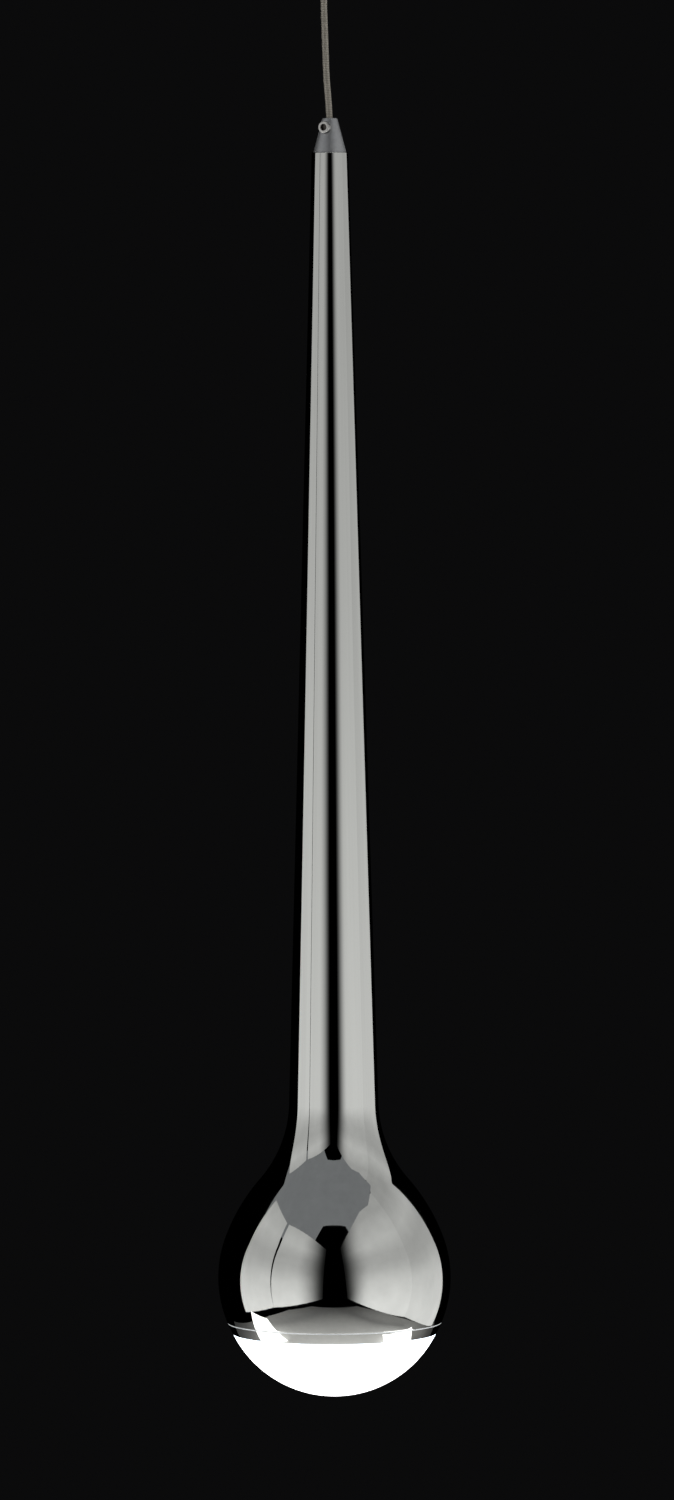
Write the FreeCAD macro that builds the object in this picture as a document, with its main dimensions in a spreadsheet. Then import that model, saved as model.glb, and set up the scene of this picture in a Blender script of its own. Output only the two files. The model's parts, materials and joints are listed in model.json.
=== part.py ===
"""A chrome teardrop pendant lamp, hanging on its cord below a ceiling fitting.

Frame: millimetres, +Z up, the origin at the centre of the bracket face that lies on
the ceiling. The lamp hangs straight below it, and its front looks along -Y.
Sizes are cells of the sheet "Sizes". Lengths worked out from them are in "Derived".
"""
import FreeCAD, Part
import math
import os
import re

import Sketcher

SIZES = {
    # ceiling fitting
    "canopy_radius": 50.0,
    "canopy_height": 28.0,
    "canopy_wall": 1.2,
    "canopy_rounding": 5.0,
    "bracket_thickness": 2.0,
    "bracket_gap": 0.3,
    "side_screw_bite": 1.0,
    "slot_spacing": 60.0,
    "slot_length": 12.0,
    "slot_width": 4.6,
    "cable_entry_radius": 7.0,
    "tab_width": 14.0,
    "tab_height": 13.0,
    "side_screw_radius": 1.5,
    "side_screw_drop": 9.0,
    "bush_flange_radius": 9.0,
    "bush_flange_height": 3.0,
    "bush_stem_radius": 6.5,
    "bush_stem_height": 7.0,
    "bush_nut_radius": 9.5,
    "bush_nut_height": 3.5,
    "stop_radius": 4.0,
    "stop_rise": 6.0,
    "stop_crimp_radius": 2.4,
    "stop_crimp_height": 5.0,
    "stop_crimp_overlap": 1.0,
    "driver_clearance": 2.0,
    "driver_width": 22.0,
    "driver_height": 18.0,
    "driver_wall": 1.5,
    "block_length": 30.0,
    "block_width": 14.0,
    "block_height": 12.0,
    "block_offset": 28.0,
    "terminal_pitch": 9.0,
    "terminal_radius": 1.8,
    "tape_thickness": 1.0,
    "driver_board_drop": 12.0,
    "transformer_height": 7.5,
    "winding_height": 4.5,
    "capacitor_height": 8.0,
    "earth_screw_radius": 2.0,
    "earth_screw_x": 24.0,
    "earth_screw_y": -22.0,
    # cord
    "cord_radius": 1.5,
    "free_cord": 75.0,
    "side_swing": 25.0,
    "front_swing": 20.0,
    # cord cap and its clamp screw
    "cap_height": 16.0,
    "cap_top_radius": 3.45,
    "cap_inset": 0.8,
    "cap_pivot_depth": 2.5,
    "cap_stub_radius": 4.0,
    "cap_stub_length": 9.0,
    "clamp_drop": 4.3,
    "clamp_turn_from_front": 25.0,
    "clamp_head_radius": 2.75,
    "clamp_head_height": 3.0,
    "clamp_head_seat": 4.2,
    "clamp_shank_radius": 1.35,
    "clamp_socket_radius": 1.45,
    "clamp_pad_thickness": 0.8,
    "snug_margin": 1.0,
    "bore_step": 0.2,
    # lamp body
    "neck_height": 529.0,
    "neck_top_radius": 8.5,
    "neck_taper": 1.6,
    "plug_length": 14.0,
    "throat_radius": 56.7,
    "shoulder_radius": 89.1,
    "shoulder_angle": 20.5,
    "ball_radius": 54.7,
    "shell_wall": 1.2,
    "seam_drop": 21.1,
    "land_wall": 1.75,
    "land_height": 11.6,
    # mounting ring, heat sink and light source
    "running_gap": 0.3,
    "face_gap": 0.1,
    "skirt_wall": 2.0,
    "ledge_reach": 6.6,
    "ledge_thickness": 4.5,
    "plate_thickness": 3.0,
    "boss_radius": 8.0,
    "boss_bore_radius": 3.6,
    "boss_height": 16.0,
    "fin_count": 14.0,
    "fin_height": 22.0,
    "fin_thickness": 1.6,
    "fin_overlap": 1.0,
    "plate_screw_radius": 1.5,
    "plate_screw_count": 3.0,
    "pad_thickness": 0.5,
    "board_radius": 30.0,
    "board_thickness": 1.6,
    "board_screw_radius": 1.25,
    "board_screw_circle": 17.5,
    "led_length": 3.5,
    "led_width": 2.8,
    "led_height": 0.8,
    "reflector_wall": 0.8,
    "reflector_gap": 0.5,
    "lead_radius": 0.9,
    "connector_length": 6.0,
    "connector_width": 3.2,
    "connector_height": 2.4,
    "grommet_length": 4.0,
    "grommet_flange": 2.0,
    "grommet_flange_height": 1.5,
    # trim ring, gasket and diffuser
    "ring_height": 5.3,
    "ring_top_bevel": 0.35,
    "sleeve_wall": 1.4,
    "sleeve_height": 5.5,
    "lip_thickness": 1.2,
    "lip_cover": 1.3,
    "dome_inset": 0.1,
    "dome_drop": 2.45,
    "dome_wall": 2.0,
    "flange_thickness": 1.0,
    "gasket_thickness": 0.8,
    # every small screw's head and socket, as shares of its shank's radius
    "head_share": 1.8,
    "head_height_share": 1.2,
    "socket_share": 0.9,
    # how far a cutting tool runs past what it cuts
    "overrun": 6.0,
}

DERIVED = {
    # levels below the ceiling
    "bush_exit": "-(canopy_height + bush_flange_height)",
    "stop_level": "bush_exit + stop_rise",
    "cap_top": "bush_exit - free_cord",
    "cap_pivot": "cap_top - cap_pivot_depth",
    "neck_rim": "cap_top - cap_height",
    "ball_level": "neck_rim - neck_height",
    # the driver lies between the bush's nut and the canopy's wall
    "driver_inner": "bush_nut_radius + 2 * driver_clearance",
    "driver_offset": "driver_inner + driver_width / 2",
    "driver_outer": "driver_inner + driver_width",
    "driver_reach": "canopy_radius - canopy_wall - driver_clearance",
    "driver_length": "2 * sqrt(driver_reach^2 - driver_outer^2)",
    # the outline of the body: neck line, throat arc, shoulder arc, ball arc
    "neck_offset": "neck_top_radius * cos(neck_taper) + neck_height * sin(neck_taper)",
    "shoulder_shift": "shoulder_radius - ball_radius",
    "shoulder_x": "-shoulder_shift * cos(shoulder_angle)",
    "shoulder_z": "-shoulder_shift * sin(shoulder_angle)",
    "shoulder_out": "shoulder_x * cos(neck_taper) + shoulder_z * sin(neck_taper)",
    "shoulder_up": "shoulder_z * cos(neck_taper) - shoulder_x * sin(neck_taper)",
    "throat_out": "neck_offset + throat_radius",
    "arc_centres": "shoulder_radius + throat_radius",
    "throat_up": "shoulder_up + sqrt(arc_centres^2 - (throat_out - shoulder_out)^2)",
    "throat_x": "throat_out * cos(neck_taper) - throat_up * sin(neck_taper)",
    "throat_z": "throat_out * sin(neck_taper) + throat_up * cos(neck_taper)",
    "turn_x": "(throat_x - shoulder_x) / arc_centres",
    "turn_z": "(throat_z - shoulder_z) / arc_centres",
    "neck_bore": "neck_top_radius - shell_wall / cos(neck_taper)",
    "cap_base_radius": "neck_top_radius - cap_inset",
    "inner_ball": "ball_radius - shell_wall",
    # the open lower end of the ball
    "rim_radius": "sqrt(ball_radius^2 - seam_drop^2)",
    "land_radius": "rim_radius - land_wall",
    "land_top": "land_height - seam_drop",
    "sleeve_radius": "land_radius - running_gap",
    "sleeve_bore": "sleeve_radius - sleeve_wall",
    "skirt_radius": "sleeve_bore - running_gap",
    "skirt_bore": "skirt_radius - skirt_wall",
    "ledge_bore": "skirt_bore - ledge_reach",
    "ledge_bottom": "land_top - ledge_thickness",
    "plate_radius": "skirt_bore - running_gap",
    "plate_bottom": "ledge_bottom - plate_thickness",
    "screw_circle": "(ledge_bore + skirt_bore) / 2",
    "pad_bottom": "plate_bottom - pad_thickness",
    "board_bottom": "pad_bottom - board_thickness",
    # ring and dome
    "ring_bottom": "-(seam_drop + ring_height)",
    "ring_edge": "sqrt(ball_radius^2 - ring_bottom^2)",
    "lip_radius": "sleeve_bore - lip_cover",
    "lip_top": "ring_bottom + lip_thickness",
    "dome_edge": "ring_edge - dome_inset",
    "dome_top": "ring_bottom - face_gap",
    "dome_radius": "sqrt(dome_edge^2 + (dome_top + dome_drop)^2)",
    "flange_bottom": "lip_top + face_gap",
    "flange_top": "flange_bottom + flange_thickness",
    "flange_radius": "sleeve_bore - running_gap",
    "dome_neck": "lip_radius - running_gap",
    "skirt_bottom": "flange_top + gasket_thickness + face_gap",
}

# The cord's line from the cap up to the stop: sideways (X) and level (Z), in mm.
CORD_ROUTE = [
    (0.0, -108.5),
    (-0.5, -99.0),
    (-1.6, -86.0),
    (-2.15, -66.0),
    (-2.75, -48.0),
    (-1.0, -38.5),
    (0.0, -29.3),
]

doc = FreeCAD.newDocument("PendantLamp")
sheet = doc.addObject("Spreadsheet::Sheet", "Sizes")
for row, (alias, size) in enumerate(SIZES.items(), start=1):
    sheet.set(f"A{row}", alias)
    sheet.set(f"B{row}", str(size))
    sheet.setAlias(f"B{row}", alias)
doc.recompute()


def linked(formula):
    """The formula with each size's name led by the object that holds it."""
    def lead(match):
        word = match.group(0)
        if word in SIZES:
            return "Sizes." + word
        if word in DERIVED:
            return "Derived." + word
        return word
    return re.sub(r"[a-z_]+", lead, str(formula))


derived = doc.addObject("App::VarSet", "Derived")
for name, formula in DERIVED.items():
    derived.addProperty("App::PropertyFloat", name)
    derived.setExpression(name, linked(formula))
doc.recompute()

nodes = {}


# ---------------------------------------------------------------- helpers

def number(formula):
    """The present value of a formula."""
    return float(sheet.evalExpression(linked(formula)))


def bind(item, path, formula):
    """Ties one property of an object to a formula of sizes."""
    item.setExpression(path, linked(formula))


def place(item, x="0", y="0", z="0"):
    """Ties an object's place to formulas of sizes."""
    for axis, formula in zip("xyz", (x, y, z)):
        bind(item, "Placement.Base." + axis, formula)


def turn(item, axis, angle):
    """Turns an object about an axis through its own place."""
    item.Placement.Rotation = FreeCAD.Rotation(FreeCAD.Vector(*axis), angle)


def keep(label, item):
    """Names an object as one of the lamp's pieces."""
    item.Label = label
    nodes[label] = item
    return item


def origin_part(body, role):
    """A body's own origin plane or axis."""
    return next(part for part in body.Origin.OriginFeatures if part.Role == role)


def new_body(label, z="0"):
    body = doc.addObject("PartDesign::Body", label)
    place(body, z=z)
    return body


def pin(sketch, edge, end, x, y):
    """Ties one end of a sketch edge to a place on the sketch."""
    for kind, formula, axis in (("DistanceX", x, -2), ("DistanceY", y, -1)):
        if formula == "0":
            sketch.addConstraint(Sketcher.Constraint("PointOnObject", edge, end, axis))
            continue
        index = sketch.addConstraint(
            Sketcher.Constraint(kind, -1, 1, edge, end, number(formula)))
        bind(sketch, f"Constraints[{index}]", formula)


def new_sketch(body, plane):
    sketch = body.newObject("Sketcher::SketchObject", body.Name + "Sketch")
    sketch.AttachmentSupport = [(origin_part(body, plane), "")]
    sketch.MapMode = "FlatFace"
    return sketch


def add_outline(sketch, corners, arcs=None):
    """A closed outline. arcs: edge number -> (radius, centre x, centre y), as formulas."""
    arcs = arcs or {}
    spots = [FreeCAD.Vector(number(x), number(y), 0) for x, y in corners]
    count = len(corners)
    starts = []
    ends = []
    edges = []
    for i in range(count):
        first = spots[i]
        last = spots[(i + 1) % count]
        begin, finish = 1, 2
        if i in arcs:
            radius, centre_x, centre_y = arcs[i]
            centre = FreeCAD.Vector(number(centre_x), number(centre_y), 0)
            bisector = ((first - centre) + (last - centre)).normalize()
            middle = centre + bisector * number(radius)
            shape = Part.Arc(first, middle, last)
            if (first - centre).cross(last - centre).z < 0:
                begin, finish = 2, 1
        else:
            shape = Part.LineSegment(first, last)
        edges.append(sketch.addGeometry(shape, False))
        starts.append(begin)
        ends.append(finish)
    for i in range(count):
        after = (i + 1) % count
        sketch.addConstraint(
            Sketcher.Constraint("Coincident", edges[i], ends[i], edges[after], starts[after]))
        pin(sketch, edges[i], starts[i], *corners[i])
    for i, (radius, _, _) in arcs.items():
        index = sketch.addConstraint(Sketcher.Constraint("Radius", edges[i], number(radius)))
        bind(sketch, f"Constraints[{index}]", radius)


def add_circle(sketch, x, y, radius):
    centre = FreeCAD.Vector(number(x), number(y), 0)
    normal = FreeCAD.Vector(0, 0, 1)
    edge = sketch.addGeometry(Part.Circle(centre, normal, number(radius)), False)
    index = sketch.addConstraint(Sketcher.Constraint("Radius", edge, number(radius)))
    bind(sketch, f"Constraints[{index}]", radius)
    pin(sketch, edge, 3, x, y)


def revolve(body, corners, arcs=None):
    """Turns an outline (radius, level) about the body's Z axis."""
    sketch = new_sketch(body, "XZ_Plane")
    add_outline(sketch, corners, arcs)
    feature = body.newObject("PartDesign::Revolution", body.Name + "Turned")
    feature.Profile = sketch
    feature.ReferenceAxis = (sketch, ["V_Axis"])
    feature.Angle = 360
    doc.recompute()
    return feature


def pad(body, sketch, length):
    """Thickens a sketch evenly to both sides."""
    feature = body.newObject("PartDesign::Pad", body.Name + "Pad")
    feature.Profile = sketch
    feature.Midplane = True
    bind(feature, "Length", length)
    doc.recompute()
    return feature


def cut_through(body, sketch):
    """Cuts a sketch through the whole body, both ways."""
    before = body.Shape.Volume
    feature = body.newObject("PartDesign::Pocket", body.Name + "Pocket")
    feature.Profile = sketch
    feature.Type = "ThroughAll"
    feature.Midplane = True
    doc.recompute()
    if body.Shape.Volume >= before:
        raise ValueError(f"{body.Label}: a pocket cuts nothing")
    return feature


def repeat(body, feature, count):
    """Repeats a feature evenly about the body's Z axis."""
    pattern = body.newObject("PartDesign::PolarPattern", body.Name + "Pattern")
    pattern.Originals = [feature]
    pattern.Axis = (origin_part(body, "Z_Axis"), [""])
    pattern.Angle = 360
    bind(pattern, "Occurrences", count)
    body.Tip = pattern
    doc.recompute()
    return pattern


def cylinder(radius, height, x="0", y="0", z="0"):
    item = doc.addObject("Part::Cylinder", "Cylinder")
    bind(item, "Radius", radius)
    bind(item, "Height", height)
    place(item, x, y, z)
    return item


def box(length, width, height, x="0", y="0", z="0"):
    """A box centred on x and y, standing on z."""
    item = doc.addObject("Part::Box", "Box")
    bind(item, "Length", length)
    bind(item, "Width", width)
    bind(item, "Height", height)
    place(item, f"({x}) - ({length}) / 2", f"({y}) - ({width}) / 2", z)
    return item


def prism(corner_radius, height, x="0", y="0", z="0"):
    """A six-sided prism."""
    item = doc.addObject("Part::Prism", "Prism")
    item.Polygon = 6
    bind(item, "Circumradius", corner_radius)
    bind(item, "Height", height)
    place(item, x, y, z)
    return item


def cone(low_radius, high_radius, height, x="0", y="0", z="0"):
    item = doc.addObject("Part::Cone", "Cone")
    bind(item, "Radius1", low_radius)
    bind(item, "Radius2", high_radius)
    bind(item, "Height", height)
    place(item, x, y, z)
    return item


def sphere(radius, x="0", y="0", z="0"):
    item = doc.addObject("Part::Sphere", "Sphere")
    bind(item, "Radius", radius)
    place(item, x, y, z)
    return item


def fuse(*items):
    joined = doc.addObject("Part::MultiFuse", "Fused")
    joined.Shapes = list(items)
    return joined


def cut(base, *tools):
    result = base
    for tool in tools:
        step = doc.addObject("Part::Cut", "Cut")
        step.Base = result
        step.Tool = tool
        result = step
    return result


def group(label, items):
    """Several separate solids that are one node, such as a set of screws."""
    compound = doc.addObject("Part::Compound", label)
    compound.Links = list(items)
    return keep(label, compound)


def rounded_path(points):
    """Straight runs joined by tangent arcs, each as large as its two runs allow."""
    spots = [FreeCAD.Vector(*point) for point in points]
    edges = []
    radii = []
    last = spots[0]
    for before, corner, after in zip(spots, spots[1:], spots[2:]):
        inward = (corner - before).normalize()
        outward = (after - corner).normalize()
        half_turn = inward.getAngle(outward) / 2
        reach = 0.45 * min((corner - before).Length, (after - corner).Length)
        radii.append(reach / math.tan(half_turn))
        arc_start = corner - inward * reach
        arc_end = corner + outward * reach
        to_centre = (outward - inward).normalize()
        depth = radii[-1] * (1 / math.cos(half_turn) - 1)
        edges.append(Part.LineSegment(last, arc_start).toShape())
        edges.append(Part.Arc(arc_start, corner + to_centre * depth, arc_end).toShape())
        last = arc_end
    edges.append(Part.LineSegment(last, spots[-1]).toShape())
    return Part.Wire(edges), radii


def tube_shape(points, radius):
    """A round tube along a path; its volume is held to section times length."""
    path, radii = rounded_path(points)
    start = FreeCAD.Vector(*points[0])
    heading = FreeCAD.Vector(*points[1]) - start
    ring = Part.Wire([Part.Circle(start, heading, radius).toShape()])
    solid = path.makePipeShell([ring], True, True)
    expected = math.pi * radius ** 2 * path.Length
    if abs(solid.Volume / expected - 1) > 0.01:
        raise ValueError("a tube's volume isn't its section times its length")
    return solid, path.Length, radii


def add_tubes(label, paths, radius):
    """One node of one or more tubes: cords and leads."""
    solids = []
    for points in paths:
        solid, length, radii = tube_shape(points, number(radius))
        solids.append(solid)
        if radii:
            print(f"{label}: length {length:.1f}, radii " + ", ".join(f"{r:.0f}" for r in radii))
    item = doc.addObject("Part::Feature", label)
    item.Shape = solids[0] if len(solids) == 1 else Part.makeCompound(solids)
    item.Placement = FreeCAD.Placement()
    return keep(label, item)


def aim(item, x, y):
    """Turns an object's own Z axis to a level direction."""
    item.Placement.Rotation = FreeCAD.Rotation(
        FreeCAD.Vector(0, 0, 1), FreeCAD.Vector(x, y, 0))


def screw(shank_radius, shank_length, head_radius, head_height, socket_radius):
    """A socket screw: head above its own origin, shank below."""
    shank = cylinder(shank_radius, shank_length, z=f"-({shank_length})")
    head = cylinder(head_radius, head_height)
    socket = prism(socket_radius, head_height, z=f"({head_height}) / 2")
    return cut(fuse(shank, head), socket)


def small_screw(radius, length):
    """A socket screw with the lamp's usual head."""
    return screw(radius, length, f"head_share * {radius}", f"head_height_share * {radius}",
                 f"socket_share * {radius}")


def around(circle, index, count, start=0):
    """Formulas of x and y for one of several evenly spaced places on a circle."""
    angle = f"({start} + {index} * 360 / {count})"
    return f"({circle}) * cos({angle})", f"({circle}) * sin({angle})"


# ---------------------------------------------------------------- ceiling fitting

def make_ceiling_bracket():
    edge = "canopy_radius - canopy_wall - bracket_gap"
    depth = "bracket_thickness + tab_height"
    plate = cylinder(edge, "bracket_thickness", z="-bracket_thickness")
    wall = cut(
        cylinder(edge, depth, z=f"-({depth})"),
        cylinder(f"{edge} - bracket_thickness", depth, z=f"-({depth})"))
    tabs = doc.addObject("Part::Common", "Tabs")
    tabs.Base = wall
    tabs.Tool = box("2 * canopy_radius", "tab_width", depth, z=f"-({depth})")
    tools = [cylinder("cable_entry_radius", "2 * bracket_thickness",
                      z="-1.5 * bracket_thickness")]
    for side in (-1, 1):
        middle = f"{side} * slot_spacing / 2"
        tools.append(box("slot_length - slot_width", "slot_width", "2 * bracket_thickness",
                         middle, "0", "-1.5 * bracket_thickness"))
        for end in (-1, 1):
            tools.append(cylinder("slot_width / 2", "2 * bracket_thickness",
                                  f"{middle} + {end} * (slot_length - slot_width) / 2", "0",
                                  "-1.5 * bracket_thickness"))
    tools.append(side_screw_bore())
    tools.append(cylinder("earth_screw_radius", "2 * bracket_thickness",
                          "earth_screw_x", "earth_screw_y", "-1.5 * bracket_thickness"))
    keep("ceiling_bracket", cut(fuse(plate, tabs), *tools))


def side_screw_bore():
    """A bore across the fitting, on the line of its two side screws."""
    bore = cylinder("side_screw_radius", "2 * (canopy_radius + overrun)",
                    "-(canopy_radius + overrun)", "0", "-side_screw_drop")
    aim(bore, 1, 0)
    return bore


def make_canopy_cover():
    body = new_body("CanopyCover")
    low = "-canopy_height"
    bend = "-(canopy_height - canopy_rounding)"
    inner = "canopy_radius - canopy_wall"
    floor = "canopy_wall - canopy_height"
    flat = "canopy_radius - canopy_rounding"
    revolve(body, [
        (inner, "0"),
        ("canopy_radius", "0"),
        ("canopy_radius", bend),
        (flat, low),
        ("bush_stem_radius", low),
        ("bush_stem_radius", floor),
        (flat, floor),
        (inner, bend),
    ], {
        2: ("canopy_rounding", flat, bend),
        6: ("canopy_rounding - canopy_wall", flat, bend),
    })
    keep("canopy_cover", cut(body, side_screw_bore()))


def make_canopy_screws():
    length = "canopy_wall + bracket_gap + bracket_thickness + side_screw_bite"
    screws = []
    for side in (-1, 1):
        item = small_screw("side_screw_radius", length)
        aim(item, side, 0)
        place(item, x=f"{side} * canopy_radius", z="-side_screw_drop")
        screws.append(item)
    group("canopy_screws", screws)


def make_canopy_bush():
    """The cord's way out: a ball seat above and a bell mouth below."""
    seat = "stop_radius + running_gap"
    mouth = "cord_radius / cos(side_swing) + 2 * running_gap"
    flange = cylinder("bush_flange_radius", "bush_flange_height", z="bush_exit")
    stem = cylinder("bush_stem_radius", "bush_stem_height", z="-canopy_height")
    keep("canopy_bush", cut(
        fuse(flange, stem),
        sphere(seat, z="stop_level"),
        cylinder(seat, "bush_stem_height", z="stop_level"),
        cone(f"{mouth} + stop_rise * tan(side_swing)", mouth, "stop_rise", z="bush_exit")))


def make_bush_nut():
    level = "canopy_wall - canopy_height"
    keep("bush_nut", cut(
        prism("bush_nut_radius", "bush_nut_height", z=level),
        cylinder("bush_stem_radius", "bush_nut_height", z=level)))


def make_driver():
    """The light source's power supply: case, lid, board and its parts, on a foam tape."""
    top = "-(bracket_thickness + tape_thickness)"
    low = f"({top} - driver_height)"
    inner_length = "driver_length - 2 * driver_wall"
    inner_width = "driver_width - 2 * driver_wall"
    board = f"({top} - driver_board_drop)"
    keep("driver_tape", box("0.8 * driver_length", "0.7 * driver_width", "tape_thickness",
                            "0", "driver_offset", top))
    keep("driver_case", cut(
        box("driver_length", "driver_width", "driver_height", "0", "driver_offset", low),
        box(inner_length, inner_width, "driver_height - driver_wall",
            "0", "driver_offset", low)))
    keep("driver_lid", box(inner_length, inner_width, "driver_wall",
                           "0", "driver_offset", low))
    keep("driver_board", box(inner_length, inner_width, "board_thickness",
                             "0", "driver_offset", board))
    level = f"{board} + board_thickness"
    share = f"({inner_length})"
    middle = f"-0.07 * {share}"
    keep("driver_transformer", fuse(
        box(f"0.24 * {share}", "0.6 * driver_width", "transformer_height",
            middle, "driver_offset", level),
        box(f"0.3 * {share}", "0.4 * driver_width", "winding_height",
            middle, "driver_offset", level)))
    capacitors = []
    for thickness, along, side in ((0.065, 0.23, -1), (0.05, 0.37, 1), (0.045, -0.34, -1)):
        capacitors.append(cylinder(
            f"{thickness} * {share}", "capacitor_height", f"{along} * {share}",
            f"driver_offset + {side} * 0.14 * driver_width", level))
    group("driver_capacitors", capacitors)


def make_terminal_block():
    """Three poles, with a wire way through each and a screw well from below."""
    low = "-(bracket_thickness + block_height)"
    block = box("block_length", "block_width", "block_height", "0", "-block_offset", low)
    tools = []
    screws = []
    for pole in (-1, 0, 1):
        x = f"{pole} * terminal_pitch"
        way = cylinder("0.9 * terminal_radius", "block_width + 2 * overrun", x,
                       "-block_offset - block_width / 2 - overrun",
                       f"{low} + 0.65 * block_height")
        aim(way, 0, 1)
        tools.append(way)
        well = f"{low} + 0.5 * block_height"
        tools.append(cylinder("terminal_radius", "0.5 * block_height",
                              x, "-block_offset", low))
        item = screw("terminal_radius", "0.2 * block_height", "terminal_radius",
                     "0.1 * block_height", "0.5 * terminal_radius")
        turn(item, (1, 0, 0), 180)
        place(item, x, "-block_offset", f"{well} - 0.2 * block_height")
        screws.append(item)
    keep("terminal_block", cut(block, *tools))
    group("terminal_screws", screws)


def make_earth_screw():
    item = small_screw("earth_screw_radius", "bracket_thickness")
    turn(item, (1, 0, 0), 180)
    place(item, "earth_screw_x", "earth_screw_y", "-bracket_thickness")
    keep("earth_screw", item)


def make_ceiling_leads():
    """Mains leads from the block to the driver, and the cord's two leads to the driver.

    Each lead's way is chosen by hand between its two ends, and leaves both ends square.
    """
    block_face = number("-block_offset + block_width / 2")
    driver_face = number("driver_offset - driver_width / 2")
    level = number("-(bracket_thickness + 0.35 * block_height)")
    side = number("bush_nut_radius") + 4
    pitch = number("terminal_pitch")
    mains = []
    for way in (-1, 1):
        mains.append([
            (way * pitch, block_face, level),
            (way * pitch, block_face + 6, level),
            (way * side, -4, level - 1.5),
            (way * (side + 0.5), 5, level - 1),
            (way * side, driver_face - 5, level),
            (way * side, driver_face, level),
        ])
    add_tubes("driver_leads", mains, "lead_radius")
    crimp_top = number("stop_level + stop_radius - stop_crimp_overlap + stop_crimp_height")
    tails = []
    for way in (-1, 1):
        tails.append([
            (way * 1.0, 0, crimp_top + 0.4),
            (way * 1.2, 0.6, crimp_top + 4),
            (way * 1.6, 4, crimp_top + 8),
            (way * 2.0, driver_face - 4, crimp_top + 9),
            (way * 2.0, driver_face, crimp_top + 9),
        ])
    add_tubes("cord_tail_leads", tails, "lead_radius")


# ---------------------------------------------------------------- cord

def make_cord_stop():
    """The crimped ball that carries the lamp's weight in the bush's seat."""
    collar_level = "stop_level + stop_radius - stop_crimp_overlap"
    ball = fuse(
        sphere("stop_radius", z="stop_level"),
        cylinder("stop_crimp_radius", "stop_crimp_height", z=collar_level))
    bottom = "stop_level - stop_radius"
    height = "2 * stop_radius - stop_crimp_overlap + stop_crimp_height"
    keep("cord_stop", cut(ball, cylinder("cord_radius", height, z=bottom)))
    keep("cord_in_stop", cylinder("cord_radius", f"{height} - face_gap",
                                  z=f"{bottom} + face_gap"))


def make_cord():
    solid = [(x, 0.0, z) for x, z in CORD_ROUTE]
    add_tubes("cord", [solid], "cord_radius")


# ---------------------------------------------------------------- cord cap and clamp

def clamp_direction():
    angle = math.radians(number("clamp_turn_from_front"))
    return -math.sin(angle), -math.cos(angle)


def clamp_piece(item):
    """Sets a piece, built along its own Z axis, on the clamp screw's line."""
    aim(item, *clamp_direction())
    place(item, z="cap_top - clamp_drop")
    return item


def make_cord_cap():
    body = new_body("CordCap", "neck_rim")
    wide_bore = "cord_radius + running_gap"
    snug_top = "cap_height - clamp_drop - clamp_shank_radius - snug_margin"
    pivot = "cap_height - cap_pivot_depth"
    mouth = "cord_radius / cos(front_swing) + running_gap"
    revolve(body, [
        ("cord_radius", "-cap_stub_length"),
        ("cap_stub_radius", "-cap_stub_length"),
        ("cap_stub_radius", "0"),
        ("cap_base_radius", "0"),
        ("cap_top_radius", "cap_height"),
        (f"{mouth} + cap_pivot_depth * tan(front_swing)", "cap_height"),
        (mouth, pivot),
        (wide_bore, f"{pivot} - bore_step"),
        (wide_bore, snug_top),
        ("cord_radius", snug_top),
    ])
    bore = clamp_piece(cylinder("clamp_shank_radius + running_gap", "cap_base_radius"))
    spot = clamp_piece(cut(
        cylinder("clamp_head_radius + running_gap", "2 * cap_base_radius"),
        cylinder("cap_base_radius", "clamp_head_seat - face_gap")))
    keep("cord_cap", cut(body, bore, spot))


def make_clamp():
    start = "cord_radius + face_gap"
    tip = f"{start} + clamp_pad_thickness + face_gap"
    tip_pad = cut(
        cylinder("clamp_shank_radius - face_gap", f"{start} + clamp_pad_thickness"),
        cylinder("clamp_shank_radius", start))
    keep("clamp_pad", clamp_piece(tip_pad))
    shank = cylinder("clamp_shank_radius", f"clamp_head_seat - ({tip})", z=tip)
    head = cylinder("clamp_head_radius", "clamp_head_height", z="clamp_head_seat")
    socket = prism("clamp_socket_radius", "clamp_head_height",
                   z="clamp_head_seat + 0.45 * clamp_head_height")
    keep("clamp_screw", clamp_piece(cut(fuse(shank, head), socket)))


# ---------------------------------------------------------------- lamp body

def make_body_shell():
    """Neck and ball in one skin, with a thicker land at the open lower end."""
    body = new_body("BodyShell", "ball_level")
    neck_out = ("cos(neck_taper)", "sin(neck_taper)")
    throat = ("throat_x", "throat_z")
    shoulder = ("shoulder_x", "shoulder_z")
    side = ("cos(shoulder_angle)", "sin(shoulder_angle)")

    def beside(centre, reach, direction):
        return tuple(f"{c} + ({reach}) * {d}" for c, d in zip(centre, direction))

    turned = ("turn_x", "turn_z")
    inner_shoulder = "shoulder_radius - shell_wall"
    outer_throat = "throat_radius + shell_wall"
    revolve(body, [
        ("neck_bore", "neck_height"),
        ("neck_top_radius", "neck_height"),
        beside(throat, "-throat_radius", neck_out),
        beside(shoulder, "shoulder_radius", turned),
        beside(("0", "0"), "ball_radius", side),
        ("rim_radius", "-seam_drop"),
        ("land_radius", "-seam_drop"),
        ("land_radius", "land_top"),
        ("sqrt(inner_ball^2 - land_top^2)", "land_top"),
        beside(("0", "0"), "inner_ball", side),
        beside(shoulder, inner_shoulder, turned),
        beside(throat, f"-({outer_throat})", neck_out),
    ], {
        2: ("throat_radius", *throat),
        3: ("shoulder_radius", *shoulder),
        4: ("ball_radius", "0", "0"),
        8: ("inner_ball", "0", "0"),
        9: (inner_shoulder, *shoulder),
        10: (outer_throat, *throat),
    })
    keep("body_shell", body)


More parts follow.
